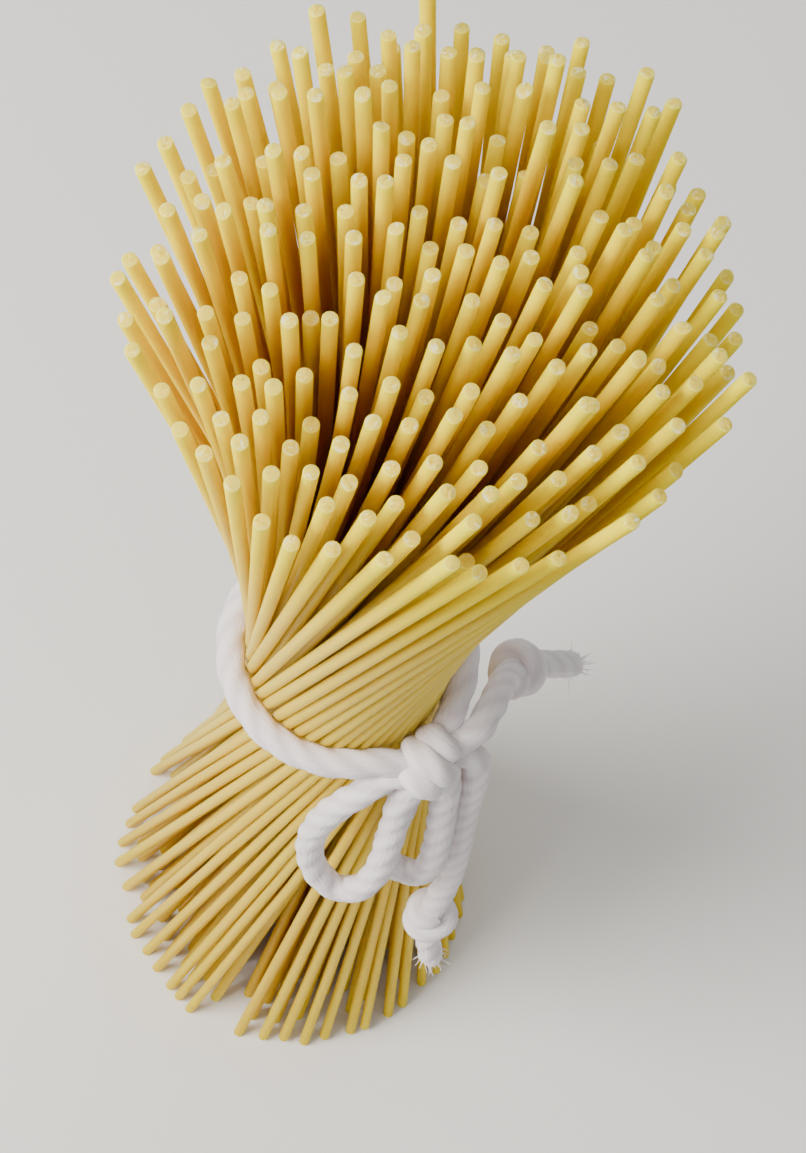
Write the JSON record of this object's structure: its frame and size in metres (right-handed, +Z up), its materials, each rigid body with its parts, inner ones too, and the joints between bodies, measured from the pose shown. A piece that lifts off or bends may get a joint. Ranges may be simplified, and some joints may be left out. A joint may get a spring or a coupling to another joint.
{
  "type": "bundle of dry spaghetti",
  "caption": "Bundle of dry spaghetti standing on its own ends, twisted into an hourglass and tied at the waist with soft white string in a bow.",
  "frame": {"origin": "on the ground, at the centre of the foot that the strands' lower ends make", "axes": "+Z up along the bundle; -Y is the front, and the bow hangs at the front right, between -Y and +X"},
  "size_m": [0.0692, 0.0655, 0.2566],
  "materials": {
    "dry_pasta": "dry durum pasta: satin, slightly translucent, pale cut ends",
    "cotton_string": "soft twisted white cotton"
  },
  "bodies": {
    "root": {"spaghetti_bundle": "dry_pasta", "string_ring": "cotton_string", "string_knot": "cotton_string", "string_loop_left": "cotton_string", "string_loop_right": "cotton_string", "string_tail_front": "cotton_string", "string_tail_back": "cotton_string", "string_end_knot_front": "cotton_string", "string_end_knot_back": "cotton_string", "string_tip_front": "cotton_string", "string_tip_back": "cotton_string"}
  },
  "joints": []
}
